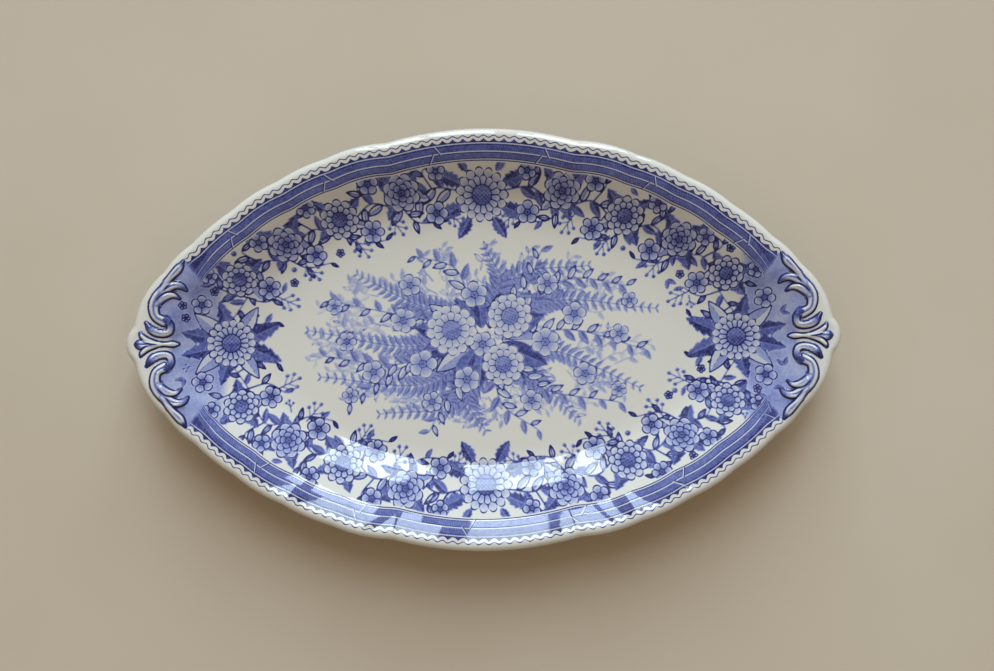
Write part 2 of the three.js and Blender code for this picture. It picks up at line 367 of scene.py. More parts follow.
def blurred(sheet, reach):
    """The sheet with its finest marks spread over the reach in millimetres, for the mesh to carry."""
    cells = reach / Sheets.STEP
    offsets = range(-int(3 * cells), int(3 * cells) + 1)
    weights = np.array([math.exp(-0.5 * (k / cells) ** 2) for k in offsets])
    weights /= weights.sum()
    for axis in (0, 1):
        sheet = sum(weight * np.roll(sheet, k, axis) for k, weight in zip(offsets, weights))
    return sheet


# Motifs: each gives its cover, tone and line for places u and v in its own frame, in millimetres

OUTLINE_HALF = 0.2  # half the width of an engraved outline
LEAF_TEETH = (0.76, 0.34)  # share of the width between two teeth, and what a tooth adds
VEIN_PITCH = 0.16  # share of the leaf's length


def inked(distance, soft=0.08):
    """Ink where the distance is below zero, with a soft edge."""
    return np.clip(0.5 - distance / (2 * soft), 0, 1)


def outlined(gap, half=OUTLINE_HALF):
    """Ink of a line just inside an edge."""
    return inked(np.abs(gap + half) - half)


def leaf(u, v, length, width, dark, teeth=0):
    """A pointed leaf that grows along u from the origin. A dark one is filled, and a light one outlined."""
    share = np.clip(u / length, 0, 1)
    half = width / 2 * np.sin(math.pi * share ** 0.8) ** 0.85
    if teeth:
        half = half * (LEAF_TEETH[0] + LEAF_TEETH[1] * (teeth * (1 - share) % 1))
    past_ends = np.abs(u - np.clip(u, 0, length)) > 0
    gap = np.abs(v) - half + 10 * past_ends
    cover = inked(gap)
    rib = inked(np.abs(v) - 0.13) * (share < 0.85)
    pitch = VEIN_PITCH * length
    vein_phase = (u - 0.9 * np.abs(v)) / pitch % 1
    vein = inked(np.abs(vein_phase - 0.5) * pitch - 0.1) * (share > 0.12)
    if dark:
        tone = 0.68 + 0.2 * (v > 0) - 0.36 * np.maximum(rib, 0.5 * vein)
        return cover, tone, 0.8 * outlined(gap, 0.15)
    tone = 0.12 + 0.24 * (v > 0)
    return cover, tone, np.maximum(outlined(gap), cover * np.maximum(0.9 * rib, 0.4 * vein))


def petal_ring(u, v, radius, petals, depth, root, tip, phase=0.0):
    """One ring of petals, shaded between the tones of root and tip, with outlines, seams and fine rays."""
    r = np.hypot(u, v)
    turn = np.arctan2(v, u) + phase
    swing = np.cos(petals * turn / 2)
    wave = np.abs(swing)
    gap = r - radius * (1 - depth + depth * wave ** 0.55)
    cover = inked(gap)
    seam = inked(r * np.abs(np.arcsin(np.clip(swing, -1, 1))) * 2 / petals - OUTLINE_HALF)
    rays = (np.cos(5 * petals * turn) > 0.2) * np.clip(0.8 + 0.12 * wave - r / radius, 0, 0.3)
    tone = tip + (root - tip) * np.clip(1.04 - r / radius, 0, 1) ** 1.4 + 0.75 * rays
    return cover, tone, np.maximum(outlined(gap), cover * seam)


def laid(bottom, *layers):
    """Motifs laid over each other, the last on top."""
    cover, tone, line = bottom
    for over, over_tone, over_line in layers:
        tone = tone * (1 - over) + over_tone * over
        line = np.maximum(line * (1 - over), over_line)
        cover = np.maximum(cover, over)
    return cover, tone, line


def eye(u, v, radius):
    """The dark middle of a flower, with a pale ring of dots."""
    r = np.hypot(u, v)
    dots = (np.abs(r - 0.62 * radius) < 0.2 * radius) * (np.cos(7 * np.arctan2(v, u)) > 0.1)
    gap = r - radius
    return inked(gap), 0.9 - 0.6 * dots, inked(np.abs(gap) - OUTLINE_HALF)


def latticed_dome(u, v, radius, pitch=1.3):
    """The middle of a daisy, cross-hatched and darker on its near side."""
    lattice = np.maximum(np.abs((u + v) / pitch % 1 - 0.5), np.abs((u - v) / pitch % 1 - 0.5)) > 0.36
    gap = np.hypot(u, v) - radius
    return inked(gap), 0.42 + 0.4 * lattice + 0.14 * (v < 0), inked(np.abs(gap) - OUTLINE_HALF)


def blossom(u, v, radius, petals, phase):
    """A flat open flower with round petals."""
    ring = petal_ring(u, v, radius, petals, depth=0.36, root=0.6, tip=0.06, phase=phase)
    return laid(ring, eye(u, v, 0.25 * radius))


def daisy(u, v, radius, petals):
    """A double flower: two rows of narrow petals round a hatched dome."""
    outer = petal_ring(u, v, radius, petals, depth=0.24, root=0.7, tip=0.04)
    inner = petal_ring(u, v, 0.72 * radius, petals, depth=0.2, root=0.55, tip=0.1, phase=math.pi / petals)
    return laid(outer, inner, latticed_dome(u, v, 0.36 * radius))


def rosette(u, v, radius, petals):
    """A full flower of three rows of petals, the inner ones darker."""
    outer = petal_ring(u, v, radius, petals, depth=0.3, root=0.66, tip=0.1)
    middle = petal_ring(u, v, 0.74 * radius, petals, depth=0.3, root=0.72, tip=0.14, phase=math.pi / petals)
    inner = petal_ring(u, v, 0.48 * radius, 5, depth=0.3, root=0.8, tip=0.22, phase=0.4)
    return laid(outer, middle, inner, eye(u, v, 0.16 * radius))


def berry(u, v, radius):
    gap = np.hypot(u, v) - radius
    shine = inked(np.hypot(u + 0.3 * radius, v - 0.3 * radius) - 0.35 * radius)
    return inked(gap), 0.82 - 0.6 * shine, outlined(gap, 0.1)


def dot(u, v, radius):
    cover = inked(np.hypot(u, v) - radius)
    return cover, 0.9 * cover, cover


# Stems and what grows on them

STEM_TAPER = 0.6  # share of the width left at a stem's end
STALK_LEAN = 0.3  # how far back along the twig a berry's stalk leaves it, as a share of its length
# Berries on a twig: places along it and to its side, as shares of its length
BERRIES = [(1.0, 0.0), (0.84, 0.28), (0.72, -0.3), (0.54, 0.34), (0.42, -0.34)]


def through(points, step):
    """A smooth open curve through points, at about equal steps, with its direction at each."""
    knots = np.array(points, float)
    span = np.linalg.norm(np.diff(knots, axis=0), axis=1).sum()
    place = smooth_curve(knots, max(4, int(span / step)))
    along = np.gradient(place, axis=0)
    return place, np.arctan2(along[:, 1], along[:, 0])


def draw_stem(sheets, points, width, strength=1.0):
    place, _ = through(points, step=0.12)
    for spot, taper in zip(place, np.linspace(1, STEM_TAPER, len(place))):
        sheets.stamp(spot, 0, width, strength, dot, width / 2 * taper)


def draw_leafy_stem(sheets, points, pitch, length, spread, strength=1.0, dark_every=2):
    """A stem with leaves to both sides in turn, smaller towards its end."""
    draw_stem(sheets, points, width=0.55, strength=strength)
    place, turn = through(points, pitch)
    for i in range(1, len(place)):
        side = 1 if i % 2 else -1
        size = length * (1.05 - 0.45 * i / len(place)) * RANDOM.uniform(0.9, 1.1)
        angle = turn[i] + side * (spread + RANDOM.uniform(-0.15, 0.15))
        sheets.lay(place[i], angle, strength, leaf, size, 0.42 * size, i % dark_every == 0)


def draw_fern(sheets, points, pitch, length, strength):
    """A frond: pairs of slim leaflets that shorten to the tip."""
    draw_stem(sheets, points, width=0.5, strength=strength)
    place, turn = through(points, pitch)
    for i in range(1, len(place)):
        size = length * (1 - 0.75 * (i / len(place)) ** 1.3)
        for side in (1, -1):
            angle = turn[i] + side * RANDOM.uniform(0.85, 1.05)
            sheets.lay(place[i], angle, strength, leaf, size, 0.34 * size, True)


def draw_berry_twig(sheets, start, angle, length, count=len(BERRIES)):
    """A bare twig with berries on short stalks."""
    along = direction(angle)
    side = np.array([-along[1], along[0]])
    draw_stem(sheets, [start, start + 0.5 * length * along, start + length * along], width=0.42)
    radius = 0.25 + 0.047 * length
    for share, out in BERRIES[:count]:
        root = start + length * max(share - STALK_LEAN, 0) * along
        end = start + length * (share * along + out * side)
        draw_stem(sheets, [root, (root + end) / 2, end], width=0.36)
        sheets.stamp(end, 0, 1.5 * radius, 1, berry, radius)


# The border, laid out in one quarter and mirrored into the others: places in millimetres from the middle

GARLAND = [
    (8, 51), (17, 51.5), (27, 45), (38, 46.5), (48, 37), (58, 38), (66.5, 28.5), (75, 27), (80.5, 15.5),
    (87, 6),
]
TWIGS = [
    [(17, 51.5), (20, 57), (15, 59)], [(27, 45), (22, 40.5), (13, 40.5)], [(38, 46.5), (42, 52), (36, 55.5)],
    [(48, 37), (42, 33.5), (33, 34.5)], [(58, 38), (63, 42), (57, 47)], [(66.5, 28.5), (60, 25.5), (52, 27)],
    [(75, 27), (81, 31), (75.5, 36)], [(80.5, 15.5), (74, 14), (68.5, 17)],
    [(80.5, 15.5), (90, 19), (93.5, 24)], [(84, 10), (78, 6.5), (71, 7)],
]
# Flowers: place, radius and petals
ROSETTES = [(27.3, 50.2, 6.6, 8), (48.5, 41.5, 6.8, 11), (66.8, 33.2, 6.2, 8), (82.5, 21.5, 6.0, 10)]
DAISY_PETALS = 10  # from so many petals a rosette is drawn as a daisy
ROSETTE_LEAVES = 4
ROSETTE_LEAF_TEETH = 4
BLOSSOMS = [
    (15.5, 43.5, 4.0, 5), (37.5, 37.5, 4.3, 6), (57, 29.8, 4.1, 5), (73, 18.5, 4.2, 6), (15.5, 57, 3.2, 5),
    (38.5, 53, 3.7, 5), (59.5, 45.3, 3.5, 6), (75.5, 33.8, 3.3, 5), (95, 13, 3.7, 5), (92, 22.5, 3.0, 5),
]
SIDE_DAISY = (0, 49.4, 9.2, 15)
TIP_DAISY = (86, 0, 8.4, 17)
# Leaves and berry twigs: place, angle and length
SIDE_LEAVES = [(6.5, 46, -0.45, 10.5), (7, 53, 0.4, 9.5), (5, 57, 0.95, 5.5), (4, 42, -1.05, 8.5)]
TIP_LEAVES = [
    (88, 0.8, 0.22, 14.5), (87.5, 1.5, 0.72, 13.5), (86, 2.0, 1.3, 13.0), (84, 1.5, 2.15, 13.0),
    (82, 0.8, 2.72, 14.0),
]
LARGE_LEAF_TEETH = 5
BERRY_TWIGS = [
    (12, 43.5, -2.5, 6.5), (31.5, 42.5, -2.2, 7.5), (43.5, 35, -2.2, 7.5), (61, 27, -2.3, 7.5),
    (70, 15.5, -2.7, 7.5),
]
BORDER_OUTER = 13.0  # where the border ends, from the rim's edge
GAP_TRIES = 3600
GAP_PLACES = (102, 60)  # farthest tries along and across
GAP_SHARES = (0.1, 0.97)  # gaps are filled between these shares of the border's breadth
GAP_REACH = (1.5, 1.5, 2.4, 2.4)  # bare space that each kind of filling needs
SEEN_INK = 0.3
GAP_INKED = 0.04  # share of that space that may have ink on it


def draw_quarter(sheets, across, up):
    """One quarter of the border, mirrored by the signs across and up."""
    flip = np.array([across, up])

    def turned(angle):
        return math.atan2(up * math.sin(angle), across * math.cos(angle))

    def lay(place, angle, motif, *sizes):
        sheets.lay(flip * place, angle, 1, motif, *sizes)

    draw_leafy_stem(sheets, flip * GARLAND, pitch=3.1, length=7.0, spread=0.85)
    for twig in TWIGS:
        draw_leafy_stem(sheets, flip * twig, pitch=2.6, length=5.2, spread=0.8, dark_every=3)
    for *place, angle, size in SIDE_LEAVES:
        lay(place, turned(angle), leaf, size, 0.52 * size, True, LARGE_LEAF_TEETH)
    for k, (*place, angle, size) in enumerate(TIP_LEAVES):
        dark = k % 2 == 0
        lay(place, turned(angle), leaf, size, 0.42 * size, dark, LARGE_LEAF_TEETH * dark)
    for *place, angle, size in BERRY_TWIGS:
        draw_berry_twig(sheets, flip * place, turned(angle), size)
    for *place, radius, _ in ROSETTES:
        for k in range(ROSETTE_LEAVES):
            angle = turned(0.5 + math.tau * k / ROSETTE_LEAVES + RANDOM.uniform(-0.35, 0.35))
            size = radius + RANDOM.uniform(2.6, 5.0)
            lay(place, angle, leaf, size, 0.5 * size, k != 2, ROSETTE_LEAF_TEETH)
    for *place, radius, petals in BLOSSOMS:
        size = radius * RANDOM.uniform(0.94, 1.06)
        lay(place, 0, blossom, size, petals, RANDOM.uniform(0, math.tau))
    for *place, radius, petals in ROSETTES:
        lay(place, turned(0.3), daisy if petals >= DAISY_PETALS else rosette, radius, petals)


def draw_border(sheets):
    for across in (1, -1):
        for up in (1, -1):
            draw_quarter(sheets, across, up)
    for side in (1, -1):
        for x, y, radius, petals in (SIDE_DAISY, TIP_DAISY):
            sheets.lay((side * x, side * y), 0, 1, daisy, radius, petals)


def border_share(x, y):
    """How far a place lies from the well's edge, at 0, to where the border ends, at 1."""
    turn = np.arctan2(y / HALF_WIDTH, x / HALF_LENGTH)
    column = np.argmin(np.abs(WELL_TURN - turn))
    breadth = OUTLINE[column] - OUTWARD[column] * BORDER_OUTER - WELL[column]
    return np.dot((x, y) - WELL[column], breadth) / np.dot(breadth, breadth)


def fill_gaps(sheets):
    """Berries, small blossoms, pairs of leaves and berry twigs where the border is still bare."""
    for _ in range(GAP_TRIES):
        place = [RANDOM.uniform(-far, far) for far in GAP_PLACES]
        kind = RANDOM.integers(len(GAP_REACH))
        spin = RANDOM.uniform(0, math.tau)
        if not GAP_SHARES[0] < border_share(*place) < GAP_SHARES[1]:
            continue
        where = sheets.window(place, GAP_REACH[kind])[0]
        if (sheets.line[where] + sheets.tone[where] > SEEN_INK).mean() > GAP_INKED:
            continue
        if kind == 0:
            sheets.lay(place, 0, 1, berry, 0.85)
        elif kind == 1:
            sheets.lay(place, 0, 1, blossom, 1.6, 5, spin)
        elif kind == 2:
            for lean in (-0.55, 0.55):
                sheets.lay(place - 1.3 * direction(spin), spin + lean, 1, leaf, 3.5, 1.6, True)
        else:
            draw_berry_twig(sheets, place - 2 * direction(spin), spin, length=4, count=3)


# The spray in the well: places in millimetres from the middle of the dish

FRONDS = [
    [(6, 2), (24, 13), (59, 10)], [(-6, 3), (-26, -2), (-60, 4)], [(4, -4), (24, -4), (53, -17)],
    [(-6, -4), (-22, -15), (-56, -12)], [(4, 6), (12, 22), (36, 25)], [(-5, 6), (-24, 13), (-43, 23)],
    [(3, -6), (18, -14), (31, -27)], [(-5, -6), (-11, -22), (-36, -25)], [(0, 8), (6, 20), (1, 31)],
    [(0, -8), (-6, -20), (0, -31)],
]
SPRAY_SPRIGS = [
    [(8, 5), (28, 20), (49, 18)], [(-8, 5), (-24, 8), (-53, 14)], [(8, -5), (20, -17), (46, -22)],
    [(-8, -5), (-28, -9), (-46, -21)], [(3, 8), (14, 17), (20, 30)], [(-4, 8), (-9, 24), (-23, 29)],
    [(3, -8), (6, -22), (18, -31)], [(-4, -8), (-13, -20), (-19, -31)], [(8, 0), (30, 3), (55, -4)],
    [(-8, 0), (-30, -8), (-54, -5)],
]
SPRAY_LEAVES = 15
SPRAY_FLOWERS = [(-11, 3.5, 9.0, 13), (9, 8, 8.0, 12), (6.5, -8.5, 7.6, 11)]
SPRAY_BLOSSOMS = [
    (-0.5, -1.5, 4.6, 6), (-21, -8, 5.2, 5), (21, -1, 5.2, 6), (-6, -13.5, 4.8, 6), (-3, 15.5, 4.8, 5),
    (-27.5, 7, 4.6, 6), (31, 8.5, 4.4, 5), (34.5, -12, 4.2, 5), (-38, -10.5, 4.2, 5), (22, 19, 4.0, 6),
    (-25, 19, 4.0, 5), (16, -21, 4.0, 5), (-18, -21, 3.8, 6), (46.5, 1.5, 3.6, 5), (-47, 0, 3.6, 6),
    (50, 13, 3.0, 5), (-51, 12, 3.0, 5), (46, -17.5, 3.0, 6), (-46, -18.5, 3.0, 5),
]
SPRAY_HALF = np.array([62.0, 31.0])
UNDERGROWTH = 170
SPRAY_STRENGTH = 0.73
SPRAY_LEAF_STRENGTH = 0.92
UNDERGROWTH_STRENGTH = 0.46


def draw_undergrowth(sheets):
    """Small pale twigs that lean out from the middle, closer together there."""
    for _ in range(UNDERGROWTH):
        angle = RANDOM.uniform(0, math.tau)
        share = 0.93 * RANDOM.uniform(0.02, 1) ** 0.6
        place = share * SPRAY_HALF * direction(angle)
        step = direction(math.atan2(place[1] + 6, place[0]) + RANDOM.uniform(-0.8, 0.8))
        side = RANDOM.uniform(-1.5, 1.5) * np.array([-step[1], step[0]])
        twig = [place - 5 * step, place + side, place + 4 * step]
        strength = UNDERGROWTH_STRENGTH * RANDOM.uniform(0.7, 1.1)
        draw_leafy_stem(sheets, twig, pitch=1.7, length=4.4, spread=0.85, strength=strength)


def draw_spray(sheets):
    draw_undergrowth(sheets)
    for points in FRONDS:
        draw_fern(sheets, points, pitch=2.0, length=7.0, strength=SPRAY_STRENGTH)
    for points in SPRAY_SPRIGS:
        draw_leafy_stem(sheets, points, pitch=2.5, length=6.6, spread=0.8, strength=SPRAY_STRENGTH)
    for k in range(SPRAY_LEAVES):
        angle = math.tau * k / SPRAY_LEAVES
        size = RANDOM.uniform(12, 15) * (0.85 + 0.4 * abs(math.cos(angle)))
        start = direction(angle) * (6, 4)
        sheets.lay(start, angle, SPRAY_LEAF_STRENGTH, leaf, size, 0.42 * size, k % 3 > 0)
    for *place, radius, petals in SPRAY_BLOSSOMS:
        sheets.lay(place, 0, SPRAY_STRENGTH, blossom, radius, petals, RANDOM.uniform(0, math.tau))
    for *place, radius, petals in SPRAY_FLOWERS:
        sheets.lay(place, 0.4, SPRAY_STRENGTH, daisy, radius, petals)


def drawn_print():
    sheets = Sheets()
    draw_border(sheets)
    fill_gaps(sheets)
    draw_spray(sheets)
    return sheets


# The dish's mesh


class RingMesh:
    """A surface of rings, each with as many points as the last, half or twice as many."""

    def __init__(self):
        self.points = []
        self.faces = []
        self.uppers = []
        self.count = 0
        self.last = None

    def add(self, plan, height, upper):
        start, count = self.count, len(plan)
        self.points.append(np.column_stack([plan, np.full(count, height)]))
        self.count += count
        if self.last:
            self.bridge(*self.last, start, count, upper)
        self.last = (start, count)

    def add_faces(self, corners, upper):
        """Faces of three or four corners. A triangle has its last corner twice."""
        self.faces.append(np.column_stack([*corners, corners[-1]][:4]))
        self.uppers.append(np.full(len(corners[0]), upper))

    def bridge(self, a, a_count, b, b_count, upper):
        """Faces between ring a and ring b, in threes where one has twice as many points."""
        few = min(a_count, b_count)
        here = np.arange(few)
        after = (here + 1) % few
        if a_count == b_count:
            self.add_faces((a + here, b + here, b + after, a + after), upper)
            return
        way = 1 if b_count > a_count else -1
        coarse, fine = (a, b)[::way]
        near, middle, far = fine + 2 * here, fine + 2 * here + 1, fine + (2 * here + 2) % (2 * few)
        self.add_faces((coarse + here, near, middle)[::way], upper)
        self.add_faces((coarse + here, middle, coarse + after)[::way], upper)
        self.add_faces((coarse + after, middle, far)[::way], upper)

    def cap(self, centre, upper):
        """Closes the first ring, which is the upper one, or the last in a fan round a centre point."""
        start, count = (0, len(self.points[0])) if upper else self.last
        here = start + np.arange(count)
        after = start + (np.arange(count) + 1) % count
        middle = np.full(count, self.count)
        self.points.append(np.array([centre]))
        self.count += 1
        self.add_faces((middle, here, after) if upper else (middle, after, here), upper)


def well_columns(share):
    """How many points a ring of the well has: halved as the ring shrinks."""
    columns = COLUMNS
    while columns > LEAST_COLUMNS and share < 0.9 * columns / COLUMNS:
        columns //= 2
    return columns


def dish_mesh():
    made = RingMesh()
    for i in range(1, WELL_RINGS):
        share = i / WELL_RINGS
        made.add(share * WELL[:: COLUMNS // well_columns(share)], FLOOR, True)
    for run, height in upper_section(WALL_RINGS, FLANGE_RINGS)[0]:
        made.add(plan_ring(run), height, True)
    for i, (run, height) in enumerate(edge_section()):
        upper = i < EDGE_RINGS / 2 - 1
        made.add(plan_ring(run)[:: 1 if upper else 2], height, upper)
    for run, height in under_section():
        made.add(plan_ring(run)[::2], height, False)
    for i in range(1, BASE_RINGS):
        made.add((1 - i / BASE_RINGS) * WELL[::4], FOOT_HEIGHT, False)
    made.cap((0, 0, FLOOR), True)
    made.cap((0, 0, FOOT_HEIGHT), False)
    return made


def linked_object(name, data):
    made = bpy.data.objects.new(name, data)
    bpy.context.scene.collection.objects.link(made)
    return made


def mesh_object(name, points, faces, material):
    """A smooth mesh in metres. A face whose last two corners are one is a triangle."""
    mesh = bpy.data.meshes.new(name)
    corners = [face[:3] if face[2] == face[3] else face for face in faces.tolist()]
    mesh.from_pydata((points * MM).tolist(), [], corners)
    mesh.polygons.foreach_set("use_smooth", np.ones(len(mesh.polygons), bool))
    mesh.materials.append(material)
    return linked_object(name, mesh)


# Scale and middle of each face on the map for baking, as shares of its width
UPPER_ON_MAP = (0.98, 0.3)
UNDER_ON_MAP = (0.64, 0.795)


def bake_map(mesh, points, uppers):
    """A flat map for baking: the upper face across the whole width, the underside smaller above it."""
    vertex = np.empty(len(mesh.loops), int)
    mesh.loops.foreach_get("vertex_index", vertex)
    sizes = np.empty(len(mesh.polygons), int)
    mesh.polygons.foreach_get("loop_total", sizes)
    upper = np.repeat(uppers, sizes)
    scale, middle = (np.where(upper, *pair) for pair in zip(UPPER_ON_MAP, UNDER_ON_MAP))
    plan = points[vertex, :2] * scale[:, None] / (2 * HALF_LENGTH)
    uv = plan + np.column_stack([np.full(len(plan), 0.5), middle])
    mesh.uv_layers.new(name="OFBake").data.foreach_set("uv", uv.astype(np.float32).ravel())


# Values that the glaze reads at each point of the dish

WAVE_PITCH = 3.55  # of the wavy line along the rim
TEETH = (3.35, 4.4)  # tips and roots, in millimetres from the outer edge
BAND_INNER = 10.6  # the lined band's inner side, from the outer edge
BAND_SOFT = 0.4
EDGING_ENDS = (98.0, 100.0)  # the edging fades out between these distances from the middle
EDGING_LEAN = 0.55  # how much sooner it ends for each millimetre farther in
BAND_CURL = 3.0  # how far the band's lines turn in where they end
BAND_CURL_ENDS = (88.0, 99.0)  # they turn between these distances from the middle
UNDERSIDE_INSET = 30.0  # stored on the underside, which has no edging
# Where the blue ground at a tip meets the relief: places across and along, in millimetres from the middle
GROUND_SIDE = [0, 7, 12.8, 17.7, 21.3, 27.7]
GROUND_END = [104.5, 106.5, 109.5, 107, 104.5, 99.8]
GROUND_START = (86.0, 90.5)  # it begins between these distances from the middle
GROUND_TONE = 0.34
HOLLOW_TONE = 0.8  # between the relief's bands
RELIEF_LINE = 0.9
# Distances inside the ground's end over which each comes in
GROUND_FADE = (-0.3, 0.3)
HOLLOW_FADE = (-1.5, 0.5)
PRINT_FADE = (0.2, 0.8)
FILL_BLUR = 0.12
LINE_BLUR = 0.17
# Columns of the outline to either side that are tried for the nearest, first widely and then closely
NEAREST_TRIES = (range(-48, 49, 4), range(-3, 4))


def ground_depth(plan, inset):
    """How far a place lies inside the line where the print's ground ends, in millimetres."""
    x, y = np.abs(plan).T
    return np.where(y < GROUND_SIDE[-1], np.interp(y, GROUND_SIDE, GROUND_END) - x, inset - BAND_INNER)


def edge_distance(plan):
    """Distance from each place in to the outline, and the number of waves along the rim beside it."""
    turn = np.arctan2(plan[:, 1] / HALF_WIDTH, plan[:, 0] / HALF_LENGTH)
    order = np.argsort(WELL_TURN)
    nearest = order[np.clip(np.searchsorted(WELL_TURN[order], turn), 0, COLUMNS - 1)]
    for shifts in NEAREST_TRIES:
        tries = [(nearest + shift) % COLUMNS for shift in shifts]
        gaps = [np.linalg.norm(OUTLINE[index] - plan, axis=1) for index in tries]
        best = np.argmin(gaps, axis=0)
        nearest = np.array(tries)[best, np.arange(len(plan))]
    away = OUTLINE[nearest] - plan
    inset = np.einsum("ij,ij->i", away, OUTWARD[nearest])
    slide = away[:, 0] * OUTWARD[nearest][:, 1] - away[:, 1] * OUTWARD[nearest][:, 0]
    _, length = closed_lengths(OUTLINE)
    waves = round(length[-1] / WAVE_PITCH)
    return inset, (length[nearest] + slide) * waves / length[-1]


def print_values(plan, upper_points, relief_line, relief_tone, relief_inside, hollow):
    """What the glaze reads at each point of the dish: the inks, and its place in the edging."""
    sheets = drawn_print()
    out = np.abs(plan[:, 0])
    inset, along = edge_distance(plan)
    bent = inset - BAND_CURL * smoothstep(*BAND_CURL_ENDS, out) ** 2
    edging = 1 - smoothstep(*EDGING_ENDS, out + EDGING_LEAN * (inset - TEETH[1]))
    in_band = edging * smoothstep(BAND_INNER + BAND_SOFT, BAND_INNER, bent)
    from_ground = ground_depth(plan, inset)
    shade = np.maximum(relief_tone, HOLLOW_TONE * hollow * smoothstep(*HOLLOW_FADE, from_ground))
    keep = smoothstep(*PRINT_FADE, from_ground) * (1 - relief_inside) * (1 - in_band)
    blurs = ((sheets.cover, FILL_BLUR), (sheets.tone, FILL_BLUR), (sheets.line, LINE_BLUR))
    cover, tone, line = (sheets.sampled(blurred(*blur), plan) * keep for blur in blurs)
    ground = smoothstep(*GROUND_START, out) * smoothstep(*GROUND_FADE, from_ground)
    values = {
        "tone": np.maximum(tone, shade),
        "line": np.maximum(line, relief_line * RELIEF_LINE),
        "wash": GROUND_TONE * ground * (1 - cover) * (1 - relief_inside),
        "edging": edging,
    }
    values = {name: np.where(upper_points, value, 0) for name, value in values.items()}
    values["inset"] = np.where(upper_points, inset, UNDERSIDE_INSET)
    values["along"] = along
    values["bent"] = np.where(upper_points, bent, UNDERSIDE_INSET)
    return values


def add_values(mesh, name, values):
    """Stores one number a vertex under a name that the material reads."""
    layer = mesh.attributes.new(name, "FLOAT", "POINT")
    layer.data.foreach_set("value", np.ascontiguousarray(values, np.float32))


# The dish and its relief sprigs

SPRIG_MARGIN = 0.8  # how far a sprig's piece reaches past its bands
SPRIG_SINK = 0.04  # how far its outer edge lies below the rim's face
SPRIG_RISE = 0.15  # height of relief from which it isn't sunk
SPRIG_BACK = 0.5  # how far its back lies below the rim's face


def make_sprig(name, points, faces, chosen, height, material):
    """A relief sprig as a closed piece, and the dish's points that it uses.

    Its face follows the rim with the relief on it, and its back lies inside the rim.
    """
    kept = faces[chosen[faces].all(axis=1)]
    used, corners = np.unique(kept, return_inverse=True)
    corners = corners.reshape(kept.shape)
    count = len(used)
    rise = height[used] - SPRIG_SINK * (1 - smoothstep(0, SPRIG_RISE, height[used]))
    up = np.array([0, 0, 1.0])
    face = points[used] + rise[:, None] * up
    back = points[used] - SPRIG_BACK * up
    edges = np.vstack([corners[:, [k, (k + 1) % 4]] for k in range(4)])
    inner = np.isin(edges[:, 0] * count + edges[:, 1], edges[:, 1] * count + edges[:, 0])
    start, end = edges[~inner].T
    walls = np.column_stack([end, start, start + count, end + count])
    closed = np.vstack([corners, corners[:, ::-1] + count, walls])
    return mesh_object(name, np.vstack([face, back]), closed, material), np.concatenate([used, used])


def make_dish(body_material, relief_material):
    """The dish and its relief sprigs, each with the node that it stands for."""
    rings = dish_mesh()
    points = np.concatenate(rings.points)
    faces = np.concatenate(rings.faces)
    uppers = np.concatenate(rings.uppers)
    upper_points = np.zeros(len(points), bool)
    upper_points[np.unique(faces[uppers])] = True
    plan = points[:, :2]
    heights, reach, *inks = relief_at(plan)
    values = print_values(plan, upper_points, *inks)

    body = mesh_object("glazed_dish", points, faces, body_material)
    bake_map(body.data, points, uppers)
    pieces = {"dish_body": (body, np.arange(len(points)))}
    for across, end in ((1, "right"), (-1, "left")):
        here = upper_points & (across * plan[:, 0] > 0)
        sprigs = [(f"palmette_{end}", PALMETTE, here)]
        for up, side in ((1, "upper"), (-1, "lower")):
            sprigs.append((f"scroll_{end}_{side}", SCROLL, here & (up * plan[:, 1] > 0)))
        for node, bands, within in sprigs:
            chosen = within & (reach[bands].min(axis=0) < SPRIG_MARGIN)
            height = heights[bands].max(axis=0)
            pieces[node] = make_sprig(f"glazed_{node}", points, faces, chosen, height, relief_material)
    for piece, used in pieces.values():
        for name, value in values.items():
            add_values(piece.data, name, value[used])
    return {node: piece for node, (piece, _) in pieces.items()}


# Materials


